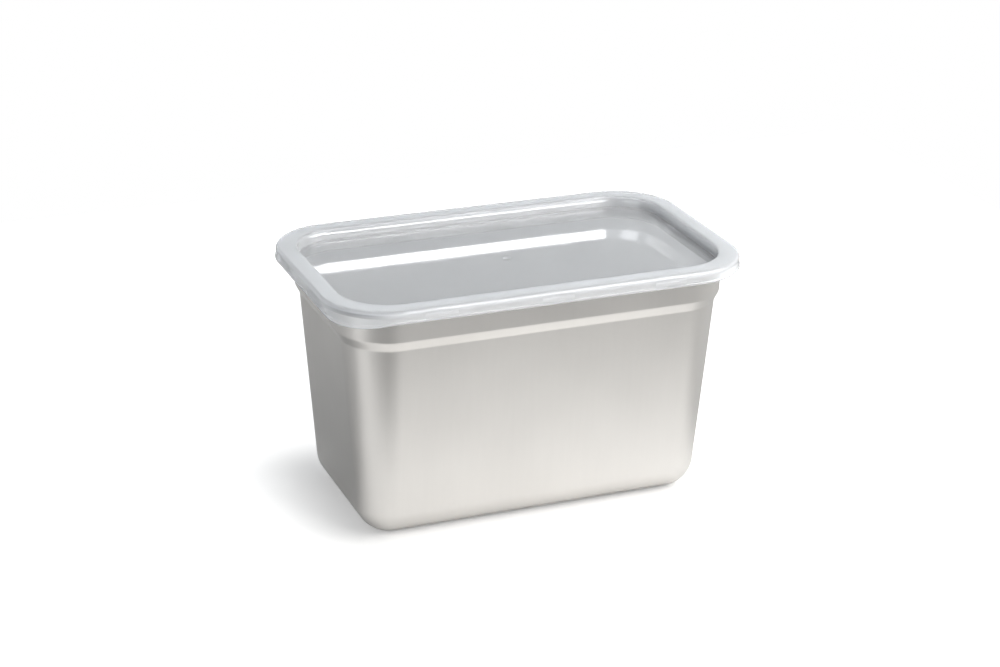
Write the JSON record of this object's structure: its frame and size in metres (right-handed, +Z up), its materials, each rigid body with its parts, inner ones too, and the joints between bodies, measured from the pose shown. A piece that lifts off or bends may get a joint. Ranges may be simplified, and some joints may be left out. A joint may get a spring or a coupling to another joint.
{
  "type": "gelato pan with clip-on lid",
  "caption": "Deep oblong steel food pan with rounded corners, a stepped collar and a clear clip-on lid with a sunk panel and a corner lift tab.",
  "frame": {"origin": "centre of the pan's flat underside, in the plane that it stands on", "axes": "+X along the long sides, +Y to the back, away from the corner with the lift tab, +Z up"},
  "size_m": [0.27, 0.163, 0.158],
  "materials": {
    "steel": "satin, drawn sheet steel",
    "clear_lid": "clear, faintly milky moulded plastic"
  },
  "bodies": {
    "root": {"pan": "steel", "lid": "clear_lid"}
  },
  "joints": []
}
